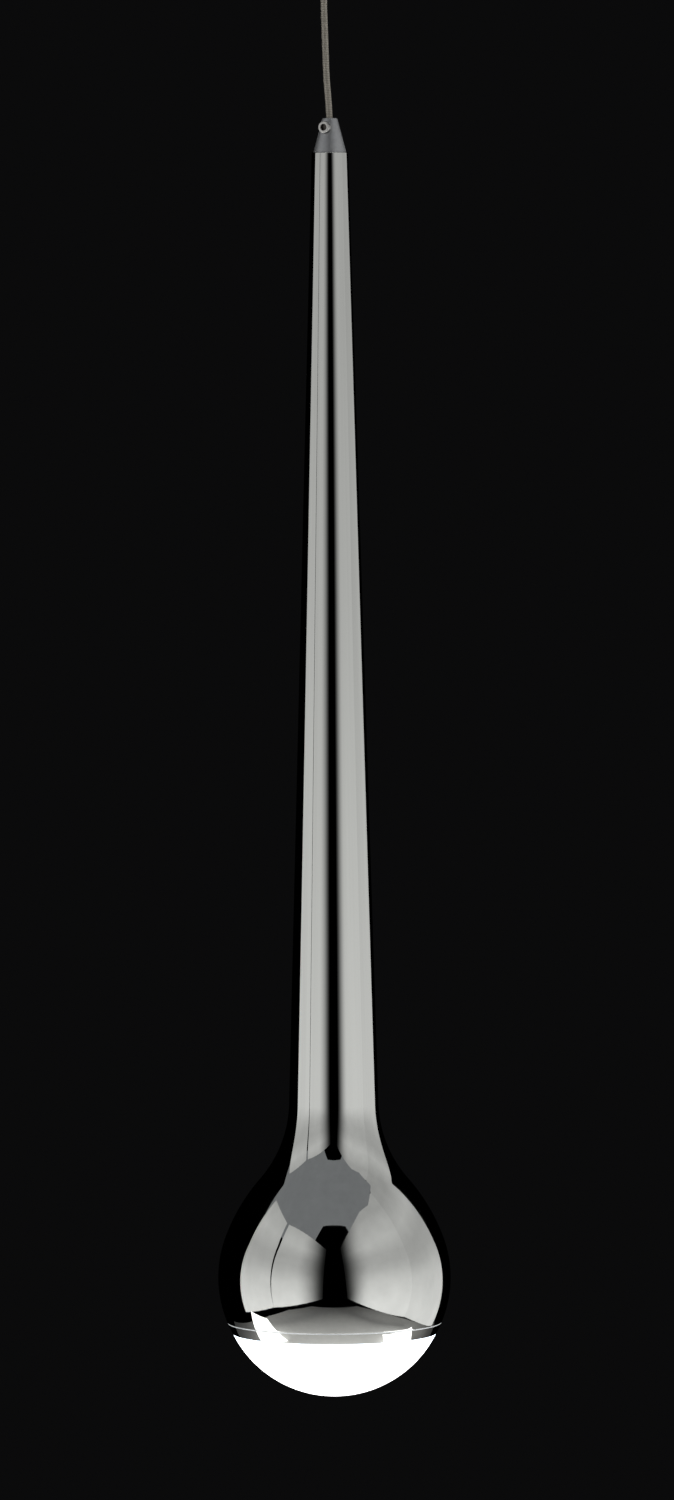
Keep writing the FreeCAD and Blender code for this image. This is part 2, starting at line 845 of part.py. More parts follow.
def make_neck_plug():
    body = new_body("NeckPlug", "ball_level")
    low = "neck_height - plug_length"
    revolve(body, [
        ("cap_stub_radius", low),
        ("neck_bore + plug_length * tan(neck_taper)", low),
        ("neck_bore", "neck_height"),
        ("cap_stub_radius", "neck_height"),
    ])
    keep("neck_plug", body)


def plate_screw_sketch(body):
    """The circles of the screws that hold the heat sink, on the body's level plane."""
    sketch = new_sketch(body, "XY_Plane")
    for index in range(int(number("plate_screw_count"))):
        x, y = around("screw_circle", index, "plate_screw_count", 90)
        add_circle(sketch, x, y, "plate_screw_radius")
    return sketch


def make_mounting_ring():
    body = new_body("MountingRing", "ball_level")
    revolve(body, [
        ("ledge_bore", "land_top"),
        ("land_radius", "land_top"),
        ("land_radius", "ledge_bottom"),
        ("skirt_radius", "ledge_bottom"),
        ("skirt_radius", "skirt_bottom"),
        ("skirt_bore", "skirt_bottom"),
        ("skirt_bore", "ledge_bottom"),
        ("ledge_bore", "ledge_bottom"),
    ])
    cut_through(body, plate_screw_sketch(body))
    keep("mounting_ring", body)


def make_heat_sink():
    body = new_body("HeatSink", "ball_level")
    top = "ledge_bottom + boss_height"
    revolve(body, [
        ("boss_bore_radius", "plate_bottom"),
        ("plate_radius", "plate_bottom"),
        ("plate_radius", "ledge_bottom"),
        ("boss_radius", "ledge_bottom"),
        ("boss_radius", top),
        ("boss_bore_radius", top),
    ])
    sketch = new_sketch(body, "XZ_Plane")
    edge = "ledge_bore - running_gap"
    add_outline(sketch, [
        ("boss_radius - fin_overlap", "ledge_bottom - fin_overlap"),
        (edge, "ledge_bottom - fin_overlap"),
        (edge, "ledge_bottom + 0.7 * fin_height"),
        ("0.7 * ledge_bore", "ledge_bottom + fin_height"),
        ("boss_radius - fin_overlap", f"{top} - 2 * fin_overlap"),
    ])
    fin = pad(body, sketch, "fin_thickness")
    repeat(body, fin, "fin_count")
    cut_through(body, plate_screw_sketch(body))
    keep("heat_sink", cut(body, *board_screw_bores()))


def make_heat_sink_screws():
    screws = []
    for index in range(int(number("plate_screw_count"))):
        item = small_screw("plate_screw_radius",
                           "plate_thickness + ledge_thickness - bore_step")
        turn(item, (1, 0, 0), 180)
        x, y = around("screw_circle", index, "plate_screw_count", 90)
        place(item, x, y, "ball_level + plate_bottom")
        screws.append(item)
    group("heat_sink_screws", screws)


# ---------------------------------------------------------------- light source

BOARD_SCREWS = 3
LED_RINGS = (("0.37 * board_radius", 6), ("0.83 * board_radius", 14))


def board_screw_bores():
    bores = []
    for index in range(BOARD_SCREWS):
        x, y = around("board_screw_circle", index, BOARD_SCREWS, 30)
        bores.append(cylinder("board_screw_radius", "2 * overrun", x, y,
                              "ball_level + plate_bottom - overrun"))
    return bores


def board_disc(label, thickness, level):
    """A disc of the board's outline, with the lead hole and the screw holes."""
    disc = cylinder("board_radius", thickness, z=f"ball_level + {level}")
    hole = cylinder("boss_bore_radius", "2 * overrun", z=f"ball_level + {level} - overrun")
    keep(label, cut(disc, hole, *board_screw_bores()))


def make_board_screws():
    screws = []
    for index in range(BOARD_SCREWS):
        item = small_screw("board_screw_radius",
                           "board_thickness + pad_thickness + 0.8 * plate_thickness")
        turn(item, (1, 0, 0), 180)
        x, y = around("board_screw_circle", index, BOARD_SCREWS, 30)
        place(item, x, y, "ball_level + board_bottom")
        screws.append(item)
    group("board_screws", screws)


def make_leds():
    """Two rings of light-emitting diodes on the board's lower face."""
    chips = []
    for circle, count in LED_RINGS:
        for index in range(count):
            x, y = around(circle, index, count)
            chips.append(box("led_length", "led_width", "led_height", x, y,
                             "ball_level + board_bottom - led_height"))
    group("leds", chips)


def make_board_connector():
    keep("board_connector", box(
        "connector_length", "connector_width", "connector_height",
        "0", "boss_bore_radius + 0.75 * connector_width",
        "ball_level + board_bottom - connector_height"))


def make_reflector():
    body = new_body("Reflector", "ball_level")
    foot = "board_radius + reflector_gap"
    edge = "skirt_bore - running_gap"
    low = "board_bottom - reflector_wall"
    revolve(body, [
        (foot, "plate_bottom"),
        (f"{foot} + reflector_wall", "plate_bottom"),
        (f"{foot} + reflector_wall", "board_bottom"),
        (edge, "board_bottom"),
        (edge, low),
        (foot, low),
    ])
    keep("reflector", body)


def make_lamp_leads():
    """The cord inside the neck, its grommet in the heat sink, and the board's leads."""
    top = "ledge_bottom + boss_height"
    body = new_body("LeadGrommet", "ball_level")
    revolve(body, [
        ("cord_radius", f"{top} - grommet_length"),
        ("boss_bore_radius", f"{top} - grommet_length"),
        ("boss_bore_radius", top),
        ("boss_bore_radius + grommet_flange", top),
        ("boss_bore_radius + grommet_flange", f"{top} + grommet_flange_height"),
        ("cord_radius", f"{top} + grommet_flange_height"),
    ])
    keep("lead_grommet", body)
    low = f"ball_level + {top} - grommet_length"
    keep("cord_in_neck", cylinder("cord_radius", f"cap_pivot - snug_margin - ({low})", z=low))
    start = number(f"{low} - running_gap")
    board = number("ball_level + board_bottom")
    entry = number("boss_bore_radius + 0.25 * connector_width")
    paths = []
    for side in (-1, 1):
        paths.append([
            (side * 1.0, 0.0, start),
            (side * 1.3, -0.6, board + 8),
            (side * 1.5, -0.2, board),
            (side * 1.5, 1.6, board - 1.7),
            (side * 1.5, entry - 1, board - 1.3),
            (side * 1.5, entry, board - 1.3),
        ])
    add_tubes("board_leads", paths, "0.6 * lead_radius")


# ---------------------------------------------------------------- ring and diffuser

def make_trim_ring():
    body = new_body("TrimRing", "ball_level")
    top = "-(seam_drop + face_gap)"
    bevel = f"{top} - ring_top_bevel"
    bevel_radius = f"sqrt(ball_radius^2 - ({bevel})^2)"
    sleeve_top = "sleeve_height - seam_drop"
    revolve(body, [
        ("lip_radius", "ring_bottom"),
        ("ring_edge", "ring_bottom"),
        (bevel_radius, bevel),
        (f"{bevel_radius} - ring_top_bevel", top),
        ("sleeve_radius", top),
        ("sleeve_radius", sleeve_top),
        ("sleeve_bore", sleeve_top),
        ("sleeve_bore", "lip_top"),
        ("lip_radius", "lip_top"),
    ], {1: ("ball_radius", "0", "0")})
    keep("trim_ring", body)


def make_diffuser():
    body = new_body("Diffuser", "ball_level")
    inner = "dome_radius - dome_wall"
    bore = "dome_neck - dome_wall"
    revolve(body, [
        ("0", "-dome_drop - dome_radius"),
        ("dome_edge", "dome_top"),
        ("dome_neck", "dome_top"),
        ("dome_neck", "flange_bottom"),
        ("flange_radius", "flange_bottom"),
        ("flange_radius", "flange_top"),
        (bore, "flange_top"),
        (bore, f"-dome_drop - sqrt(({inner})^2 - ({bore})^2)"),
        ("0", f"-dome_drop - ({inner})"),
    ], {
        0: ("dome_radius", "0", "-dome_drop"),
        7: (inner, "0", "-dome_drop"),
    })
    keep("diffuser", body)


def make_gasket():
    level = "ball_level + flange_top"
    keep("gasket", cut(
        cylinder("skirt_radius - face_gap", "gasket_thickness", z=level),
        cylinder("skirt_bore", "gasket_thickness", z=level)))


def write_parts():
    """Checks every object and every piece, then writes one STEP file for each piece."""
    doc.recompute()
    for item in doc.Objects:
        if {"Invalid", "Error"} & set(item.State):
            raise ValueError(f"{item.Name} ({item.Label}) is {item.State}")
    os.makedirs("parts", exist_ok=True)
    for label, item in nodes.items():
        shape = item.Shape
        if shape.isNull() or not shape.isValid() or not shape.Solids:
            raise ValueError(f"{label} has no valid solid")
        shape.exportStep(f"parts/{label}.step")
    print(f"{len(nodes)} nodes, ball level {number('ball_level'):.2f}")


make_ceiling_bracket()
make_canopy_cover()
make_canopy_screws()
make_canopy_bush()
make_bush_nut()
make_driver()
make_terminal_block()
make_earth_screw()
make_ceiling_leads()
make_cord_stop()
make_cord()
make_cord_cap()
make_clamp()
make_body_shell()
make_neck_plug()
make_mounting_ring()
make_heat_sink()
make_heat_sink_screws()
board_disc("thermal_pad", "pad_thickness", "pad_bottom")
board_disc("led_board", "board_thickness", "board_bottom")
make_board_screws()
make_leds()
make_board_connector()
make_reflector()
make_lamp_leads()
make_trim_ring()
make_diffuser()
make_gasket()
write_parts()
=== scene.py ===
"""The looks of a chrome teardrop pendant lamp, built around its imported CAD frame.

Metres, +Z up, the origin on the ceiling. The lamp hangs along -Z and its front looks along -Y.
"""

import json
import math

import bmesh
import bpy
from mathutils import Matrix, Vector


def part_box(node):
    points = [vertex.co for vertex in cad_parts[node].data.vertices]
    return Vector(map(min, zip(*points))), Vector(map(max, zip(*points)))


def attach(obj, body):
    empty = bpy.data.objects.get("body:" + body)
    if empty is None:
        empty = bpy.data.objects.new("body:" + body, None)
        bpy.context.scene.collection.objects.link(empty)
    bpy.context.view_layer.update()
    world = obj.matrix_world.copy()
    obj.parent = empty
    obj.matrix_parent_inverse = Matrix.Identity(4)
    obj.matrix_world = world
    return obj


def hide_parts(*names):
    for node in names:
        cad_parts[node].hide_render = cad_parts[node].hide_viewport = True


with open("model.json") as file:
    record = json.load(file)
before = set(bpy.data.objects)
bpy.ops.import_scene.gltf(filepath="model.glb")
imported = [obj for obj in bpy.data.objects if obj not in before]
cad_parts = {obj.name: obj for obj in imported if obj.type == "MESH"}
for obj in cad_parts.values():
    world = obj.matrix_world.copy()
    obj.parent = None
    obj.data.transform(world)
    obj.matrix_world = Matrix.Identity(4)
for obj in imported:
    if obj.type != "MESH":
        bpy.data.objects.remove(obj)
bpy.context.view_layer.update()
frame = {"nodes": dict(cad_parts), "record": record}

MM = 0.001

# The body's outline, the same driving sizes as the CAD part's.
NECK_HEIGHT = 529 * MM
NECK_TOP_RADIUS = 8.5 * MM
NECK_TAPER = math.radians(1.6)
THROAT_RADIUS = 56.7 * MM
SHOULDER_RADIUS = 89.1 * MM
SHOULDER_ANGLE = math.radians(20.5)
BALL_RADIUS = 54.7 * MM
SHELL_WALL = 1.2 * MM
SEAM_DROP = 21.1 * MM
LAND_WALL = 1.75 * MM
LAND_HEIGHT = 11.6 * MM
DOME_DROP = 2.45 * MM
DOME_INSET = 0.1 * MM
DOME_WALL = 2.0 * MM
RUNNING_GAP = 0.3 * MM
FACE_GAP = 0.1 * MM
EDGE_ROUND = 0.35 * MM
CORD_RADIUS = 1.5 * MM
CLAMP_ANGLE = math.radians(25)
SWING_FRONT = math.radians(20)
SWING_SIDE = math.radians(25)

# Segments round the pieces that the camera sees closest.
FINE_TURN = 512

# Levels come from the frame.
BALL_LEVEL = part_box("body_shell")[0][2] + SEAM_DROP
CAP_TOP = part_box("cord_cap")[1][2]
CAP_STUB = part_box("cord_cap")[0][2]
NECK_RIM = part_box("body_shell")[1][2]

# The cord's line from the cap up to the stop, the CAD route in metres.
CORD_ROUTE = [
    (0.0, 0.0, -0.1085),
    (-0.0005, 0.0, -0.099),
    (-0.0016, 0.0, -0.086),
    (-0.00215, 0.0, -0.066),
    (-0.00275, 0.0, -0.048),
    (-0.001, 0.0, -0.0385),
    (0.0, 0.0, -0.0293),
]


# ---------------------------------------------------------------- camera

SENSOR_WIDTH = 36
LENS = 240
CAMERA_DISTANCE = 4.69
CAMERA_LEVEL = NECK_RIM - 19.6 * MM
CAMERA_ASIDE = 2.2 * MM
CAMERA_PITCH = math.radians(3.181)
CAMERA_ROLL = math.radians(-0.23)


def make_camera():
    """A long lens a little below the neck's rim, looking slightly down."""
    data = bpy.data.cameras.new("camera")
    data.sensor_width = SENSOR_WIDTH
    data.lens = LENS
    data.dof.use_dof = False
    camera = bpy.data.objects.new("camera", data)
    bpy.context.collection.objects.link(camera)
    camera.location = (CAMERA_ASIDE, -CAMERA_DISTANCE, CAMERA_LEVEL)
    level = Matrix.Rotation(math.radians(90) - CAMERA_PITCH, 4, "X")
    roll = Matrix.Rotation(CAMERA_ROLL, 4, "Z")
    camera.rotation_euler = (level @ roll).to_euler()
    bpy.context.scene.camera = camera


make_camera()


# ---------------------------------------------------------------- material helpers

def new_material(name, color, metallic=0.0, roughness=0.4):
    """A Principled material and its two handles: the node tree and the shader node."""
    made = bpy.data.materials.new(name)
    made.use_nodes = True
    tree = made.node_tree
    shader = tree.nodes["Principled BSDF"]
    shader.inputs["Base Color"].default_value = (*color, 1)
    shader.inputs["Metallic"].default_value = metallic
    shader.inputs["Roughness"].default_value = roughness
    return made, tree, shader


def add_node(tree, kind, **values):
    """A node whose named inputs are set, and whose lower-case settings are attributes."""
    made = tree.nodes.new(kind)
    for key, value in values.items():
        if key in made.inputs:
            made.inputs[key].default_value = value
        else:
            setattr(made, key, value)
    return made


def object_place(tree, scale=(1, 1, 1)):
    """The place on the object, stretched by a scale."""
    source = add_node(tree, "ShaderNodeTexCoord")
    mapping = add_node(tree, "ShaderNodeMapping", Scale=scale)
    tree.links.new(source.outputs["Object"], mapping.inputs["Vector"])
    return mapping.outputs["Vector"]


def noise(tree, place, scale, detail=4.0, roughness=0.55):
    """Soft noise, its scale in cells to the metre."""
    made = add_node(tree, "ShaderNodeTexNoise", Scale=scale, Detail=detail, Roughness=roughness)
    tree.links.new(place, made.inputs["Vector"])
    return made.outputs["Fac"]


def spread(tree, value, low, high, start=0.3, end=0.7):
    """Maps a value's start to end onto low to high."""
    made = add_node(tree, "ShaderNodeMapRange")
    made.inputs["From Min"].default_value = start
    made.inputs["From Max"].default_value = end
    made.inputs["To Min"].default_value = low
    made.inputs["To Max"].default_value = high
    tree.links.new(value, made.inputs["Value"])
    return made.outputs["Result"]


def combine(tree, operation, first, second=0.0):
    """One step of arithmetic on numbers or sockets."""
    made = add_node(tree, "ShaderNodeMath", operation=operation)
    for socket, value in zip(made.inputs, (first, second)):
        if isinstance(value, (int, float)):
            socket.default_value = value
        else:
            tree.links.new(value, socket)
    return made.outputs["Value"]


def two_colors(tree, value, low, high, low_at=0.3, high_at=0.7):
    """A colour that runs from low to high as the value rises."""
    ramp = add_node(tree, "ShaderNodeValToRGB")
    ramp.color_ramp.elements[0].position = low_at
    ramp.color_ramp.elements[0].color = (*low, 1)
    ramp.color_ramp.elements[1].position = high_at
    ramp.color_ramp.elements[1].color = (*high, 1)
    tree.links.new(value, ramp.inputs["Fac"])
    return ramp.outputs["Color"]


def add_bump(tree, shader, height, distance, under=None):
    """Relief of a depth in metres, over another bump if one is given."""
    made = add_node(tree, "ShaderNodeBump", Strength=1.0, Distance=distance)
    tree.links.new(height, made.inputs["Height"])
    if under is not None:
        tree.links.new(under, made.inputs["Normal"])
    tree.links.new(made.outputs["Normal"], shader.inputs["Normal"])
    return made.outputs["Normal"]


# ---------------------------------------------------------------- materials

# Chrome: its colour, its bare roughness, what the hairlines add to it, and their depth.
CHROME_COLOR = (0.80, 0.81, 0.79)
CHROME_ROUGHNESS = 0.018
HAIRLINE_ROUGHNESS = 0.018
HAIRLINE_DEPTH = 0.0000012

# How strongly the dome shines, and the glow painted on the seam's edges as a bright highlight line.
DOME_GLOW = 2.6
SEAM_PAINTED_GLOW = 0.3

# Braid: strands round the cord, crossings to the metre of it, and the weave's depth.
BRAID_STRANDS = 8
BRAID_CROSSINGS = 620
BRAID_DEPTH = 0.00009


def make_chrome(name, smudge=0.05, waves=0.00012):
    """Chrome plate: long soft waves, polishing marks round the axis, faint wiped smudges."""
    made, tree, shader = new_material(name, CHROME_COLOR, 1.0, CHROME_ROUGHNESS)
    smudges = noise(tree, object_place(tree), 38, 6, 0.65)
    marks = noise(tree, object_place(tree, (40, 40, 2600)), 1.0, 3)
    rough = combine(tree, "ADD", spread(tree, smudges, 0.0, smudge, 0.45, 0.75),
                    spread(tree, marks, 0.0, HAIRLINE_ROUGHNESS, 0.5, 0.75))
    rough = combine(tree, "ADD", rough, CHROME_ROUGHNESS)
    tree.links.new(rough, shader.inputs["Roughness"])
    wave = noise(tree, object_place(tree, (1, 1, 0.35)), 26, 2, 0.4)
    soft = add_bump(tree, shader, wave, waves)
    add_bump(tree, shader, marks, HAIRLINE_DEPTH, soft)
    return made


def make_satin(name, color, low=0.2, high=0.34, pitch=2400):
    """Turned metal with fine satin marks round its axis."""
    made, tree, shader = new_material(name, color, 1.0, low)
    marks = noise(tree, object_place(tree, (30, 30, pitch)), 1.0, 4)
    tree.links.new(spread(tree, marks, low, high), shader.inputs["Roughness"])
    grain = noise(tree, object_place(tree), 900, 3)
    tone = two_colors(tree, grain, [0.88 * c for c in color], color)
    tree.links.new(tone, shader.inputs["Base Color"])
    add_bump(tree, shader, marks, 0.000004)
    return made


def make_cast_metal(name, color, low, high, grain_scale, tint=0.85):
    """Plated, milled or cast metal with a fine all-over grain."""
    made, tree, shader = new_material(name, color, 1.0, low)
    grain = noise(tree, object_place(tree), grain_scale, 5)
    cloud = noise(tree, object_place(tree), grain_scale / 18, 3)
    tree.links.new(spread(tree, cloud, low, high), shader.inputs["Roughness"])
    tone = two_colors(tree, cloud, [tint * c for c in color], color)
    tree.links.new(tone, shader.inputs["Base Color"])
    add_bump(tree, shader, grain, 0.00001)
    return made


def make_plastic(name, color, low=0.35, high=0.5, grain_scale=1800, tint=0.9):
    """Moulded plastic or rubber with a spark-eroded grain."""
    made, tree, shader = new_material(name, color, 0.0, low)
    grain = noise(tree, object_place(tree), grain_scale, 3)
    cloud = noise(tree, object_place(tree), grain_scale / 40, 3)
    tree.links.new(spread(tree, cloud, low, high), shader.inputs["Roughness"])
    tone = two_colors(tree, cloud, [tint * c for c in color], color)
    tree.links.new(tone, shader.inputs["Base Color"])
    add_bump(tree, shader, grain, 0.000008)
    return made


def make_opal(name):
    """Opal cover lit from inside: even in the middle, a little cooler by the ring."""
    made, tree, shader = new_material(name, (0.9, 0.93, 0.97), 0.0, 0.22)
    source = add_node(tree, "ShaderNodeTexCoord")
    split = add_node(tree, "ShaderNodeSeparateXYZ")
    tree.links.new(source.outputs["Object"], split.inputs["Vector"])
    top = BALL_LEVEL - SEAM_DROP
    height = spread(tree, split.outputs["Z"], 0.0, 1.0, top - 16 * MM, top - 3 * MM)
    cloud = noise(tree, source.outputs["Object"], 60, 3)
    mixed = combine(tree, "ADD", height, spread(tree, cloud, -0.06, 0.06))
    glow = two_colors(tree, mixed, (1.0, 0.99, 0.98), (0.72, 0.86, 1.0), 0.1, 1.0)
    tree.links.new(glow, shader.inputs["Emission Color"])
    shader.inputs["Emission Strength"].default_value = DOME_GLOW
    grain = noise(tree, source.outputs["Object"], 1500, 2)
    tree.links.new(spread(tree, grain, 0.18, 0.26), shader.inputs["Roughness"])
    add_bump(tree, shader, grain, 0.000004)
    return made


def make_braid(name):
    """A tinned wire braid under a clear sleeve, drawn on the tube's own length and turn."""
    made, tree, shader = new_material(name, (0.5, 0.46, 0.39), 0.35, 0.42)
    source = add_node(tree, "ShaderNodeTexCoord")
    split = add_node(tree, "ShaderNodeSeparateXYZ")
    tree.links.new(source.outputs["UV"], split.inputs["Vector"])
    strands = []
    for hand in (1, -1):
        turn = combine(tree, "MULTIPLY", split.outputs["X"], BRAID_STRANDS * hand)
        along = combine(tree, "MULTIPLY", split.outputs["Y"], BRAID_CROSSINGS)
        lay = combine(tree, "ADD", along, turn)
        strands.append(combine(tree, "SINE", combine(tree, "MULTIPLY", lay, 2 * math.pi)))
    over = combine(tree, "MULTIPLY", strands[0], strands[1])
    weave = spread(tree, over, 0.0, 1.0, -1.0, 1.0)
    mottle = noise(tree, object_place(tree, (1, 1, 0.5)), 900, 5, 0.7)
    blend = combine(tree, "ADD", combine(tree, "MULTIPLY", weave, 0.55),
                    combine(tree, "MULTIPLY", mottle, 0.6))
    tone = two_colors(tree, blend, (0.19, 0.165, 0.13), (0.66, 0.62, 0.54), 0.3, 0.85)
    tree.links.new(tone, shader.inputs["Base Color"])
    shader.inputs["Coat Weight"].default_value = 0.7
    shader.inputs["Coat Roughness"].default_value = 0.16
    tree.links.new(spread(tree, mottle, 0.34, 0.52), shader.inputs["Roughness"])
    add_bump(tree, shader, weave, BRAID_DEPTH)
    return made


def make_seam_painted_highlight(name):
    """The bare turned edges at the joint, with a glow painted on them: emission that makes a bright
    highlight line at the seam.
    """
    made = make_satin(name, (0.86, 0.87, 0.88), 0.3, 0.45)
    shader = made.node_tree.nodes["Principled BSDF"]
    # Painted highlight: the metal edge itself emits, so the seam shows a bright line.
    shader.inputs["Emission Color"].default_value = (0.93, 0.97, 1.0, 1)
    shader.inputs["Emission Strength"].default_value = SEAM_PAINTED_GLOW
    return made


CHROME = make_chrome("chrome")
SEAM_PAINTED_HIGHLIGHT = make_seam_painted_highlight("seam_edge_painted_highlight")
RING_CHROME = make_chrome("ring_chrome", smudge=0.03, waves=0.00004)
SATIN = make_satin("satin_metal", (0.55, 0.56, 0.58), 0.46, 0.58)
SCREW_STEEL = make_satin("screw_steel", (0.72, 0.71, 0.69), 0.18, 0.30)
# Painted shade: near-black steel for the inside of the screw's socket, shade painted into the
# recess.
SOCKET_PAINTED_SHADE = make_satin("socket_painted_shade", (0.17, 0.155, 0.14), 0.3, 0.5)
OPAL = make_opal("opal")
BRAID = make_braid("braided_cord")

NODE_MATERIALS = {
    "zinc_steel": make_cast_metal("zinc_steel", (0.62, 0.64, 0.66), 0.25, 0.42, 1600),
    "brass": make_cast_metal("brass", (0.78, 0.60, 0.30), 0.2, 0.36, 1400),
    "aluminium": make_cast_metal("aluminium", (0.72, 0.73, 0.75), 0.26, 0.4, 1200),
    "lead_jacket": make_plastic("lead_jacket", (0.72, 0.72, 0.70), 0.4, 0.55),
    "white_plastic": make_plastic("white_plastic", (0.84, 0.84, 0.82), 0.38, 0.52),
    "board": make_plastic("board", (0.88, 0.88, 0.86), 0.3, 0.42, 2500),
    "green_board": make_plastic("green_board", (0.03, 0.20, 0.09), 0.25, 0.4, 2500, 0.7),
    "winding": make_plastic("winding", (0.72, 0.52, 0.10), 0.3, 0.45),
    "capacitor": make_plastic("capacitor", (0.05, 0.06, 0.09), 0.22, 0.35),
    "foam": make_plastic("foam", (0.10, 0.10, 0.10), 0.8, 0.95, 900, 0.6),
    "silicone": make_plastic("silicone", (0.70, 0.70, 0.68), 0.45, 0.6),
    "thermal": make_plastic("thermal", (0.42, 0.45, 0.50), 0.6, 0.75),
    "led": make_plastic("led", (0.93, 0.83, 0.38), 0.25, 0.4),
    "chrome": CHROME,
    "satin_metal": SATIN,
    "screw_steel": SCREW_STEEL,
    "cord_jacket": BRAID,
    "opal": OPAL,
}


def dress_cad_nodes():
    """Every CAD node gets the detailed material of its own slot."""
    for entry in frame["record"]["subparts"]:
        node = frame["nodes"][entry["node"]]
        node.data.materials.clear()
        node.data.materials.append(NODE_MATERIALS[entry["material_slot"]])


dress_cad_nodes()


# ---------------------------------------------------------------- mesh helpers

def arc(centre, radius, start, end, steps):
    """Points on an arc, by angles from the +X axis."""
    turns = [start + (end - start) * i / steps for i in range(steps + 1)]
    return [(centre[0] + radius * math.cos(a), centre[1] + radius * math.sin(a)) for a in turns]


def straight(first, last, steps):
    """Points between two corners, neither of them included."""
    shares = [i / steps for i in range(1, steps)]
    return [tuple(a + (b - a) * s for a, b in zip(first, last)) for s in shares]


def rounded(outline, radius, corners, steps=5):
    """Rounds the numbered corners of a closed outline."""
    made = []
    count = len(outline)
    for i, corner in enumerate(outline):
        if i not in corners:
            made.append(corner)
            continue
        here = Vector(corner)
        before = (Vector(outline[i - 1]) - here)
        after = (Vector(outline[(i + 1) % count]) - here)
        half = before.angle(after) / 2
        reach = min(radius / math.tan(half), 0.45 * before.length, 0.45 * after.length)
        first = here + before.normalized() * reach
        last = here + after.normalized() * reach
        for step in range(steps + 1):
            share = step / steps
            bend = (1 - share) ** 2 * first + 2 * share * (1 - share) * here + share ** 2 * last
            made.append((bend.x, bend.y))
    return made


def finish_mesh(name, mesh, material, body, sharp=28):
    """Names, shades and rides a finished mesh."""
    made = bpy.data.objects.new(name, mesh)
    bpy.context.collection.objects.link(made)
    mesh.shade_smooth()
    mesh.set_sharp_from_angle(angle=math.radians(sharp))
    mesh.materials.append(material)
    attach(made, body)
    return made


def turned_mesh(name, outline, level=0.0, segments=192):
    """A closed outline (radius, height) turned about the Z axis."""
    work = bmesh.new()
    rings = []
    for radius, height in outline:
        if radius < 1e-7:
            rings.append([work.verts.new((0, 0, height + level))])
            continue
        ring = []
        for i in range(segments):
            a = 2 * math.pi * i / segments
            spot = (radius * math.cos(a), radius * math.sin(a), height + level)
            ring.append(work.verts.new(spot))
        rings.append(ring)
    for first, second in zip(rings, rings[1:] + rings[:1]):
        if len(first) == 1 and len(second) == 1:
            continue
        for i in range(segments):
            after = (i + 1) % segments
            if len(first) == 1:
                work.faces.new((first[0], second[after], second[i]))
            elif len(second) == 1:
                work.faces.new((first[i], first[after], second[0]))
            else:
                work.faces.new((first[i], first[after], second[after], second[i]))
    bmesh.ops.recalc_face_normals(work, faces=work.faces)
    mesh = bpy.data.meshes.new(name)
    work.to_mesh(mesh)
    work.free()
    return mesh


def cut_mesh(mesh, cutters):
    """Cuts cutter meshes out of a mesh, and returns the result."""
    target = bpy.data.objects.new("cut_target", mesh)
    bpy.context.collection.objects.link(target)
    helpers = []
    for cutter_mesh, matrix in cutters:
        cutter = bpy.data.objects.new("cutter", cutter_mesh)
        bpy.context.collection.objects.link(cutter)
        cutter.matrix_world = matrix
        modifier = target.modifiers.new("cut", "BOOLEAN")
        modifier.object = cutter
        modifier.operation = "DIFFERENCE"
        modifier.solver = "EXACT"
        helpers.append(cutter)
    bpy.context.view_layer.update()
    graph = bpy.context.evaluated_depsgraph_get()
    result = bpy.data.meshes.new_from_object(target.evaluated_get(graph))
    for helper in helpers + [target]:
        bpy.data.objects.remove(helper)
    return result


def second_material(mesh, material, low, high, inner=0.0, outer=math.inf):
    """Gives another material to the faces between two levels and between two radii."""
    mesh.materials.append(material)
    for face in mesh.polygons:
        spot = face.center
        if low < spot.z < high and inner <= math.hypot(spot.x, spot.y) < outer:
            face.material_index = len(mesh.materials) - 1


def cylinder_mesh(name, radius, low, high, segments=64):
    """A closed cylinder along Z, to cut a bore with."""
    return turned_mesh(name, [(0, low), (radius, low), (radius, high), (0, high)],
                       segments=segments)


# ---------------------------------------------------------------- cord

def route_points():
    """The cord's smooth centreline, read from the NURBS spline of its route."""
    curve = bpy.data.curves.new("cord_route", "CURVE")
    curve.dimensions = "3D"
    curve.resolution_u = 24
    spline = curve.splines.new("NURBS")
    spline.points.add(len(CORD_ROUTE) - 1)
    for point, place in zip(spline.points, CORD_ROUTE):
        point.co = (*place, 1)
    spline.order_u = 3
    spline.use_endpoint_u = True
    holder = bpy.data.objects.new("cord_route", curve)
    bpy.context.collection.objects.link(holder)
    line = bpy.data.meshes.new_from_object(holder)
    points = [v.co.copy() for v in line.vertices]
    bpy.data.objects.remove(holder)
    return points


def tube_mesh(name, points, radius, segments=32):
    """A closed tube along points, and its length. U is the turn and V the metres along it."""
    work = bmesh.new()
    uv_layer = work.loops.layers.uv.new("UVMap")
    lengths = [0.0]
    for first, second in zip(points, points[1:]):
        lengths.append(lengths[-1] + (second - first).length)
    rings = []
    for i, point in enumerate(points):
        ahead = points[min(i + 1, len(points) - 1)] - points[max(i - 1, 0)]
        forward = ahead.normalized()
        side = forward.cross(Vector((0, 1, 0))).normalized()
        front = side.cross(forward)
        ring = []
        for k in range(segments):
            a = 2 * math.pi * k / segments
            ring.append(work.verts.new(point + radius * (math.cos(a) * side + math.sin(a) * front)))
        rings.append(ring)
    for i in range(len(rings) - 1):
        for k in range(segments):
            spots = ((k, i), (k + 1, i), (k + 1, i + 1), (k, i + 1))
            face = work.faces.new([rings[row][turn % segments] for turn, row in spots])
            for loop, (turn, row) in zip(face.loops, spots):
                loop[uv_layer].uv = (turn / segments, lengths[row])
    work.faces.new(rings[0][::-1])
    work.faces.new(rings[-1])
    bmesh.ops.recalc_face_normals(work, faces=work.faces)
    mesh = bpy.data.meshes.new(name)
    work.to_mesh(mesh)
    work.free()
    return mesh, lengths[-1]


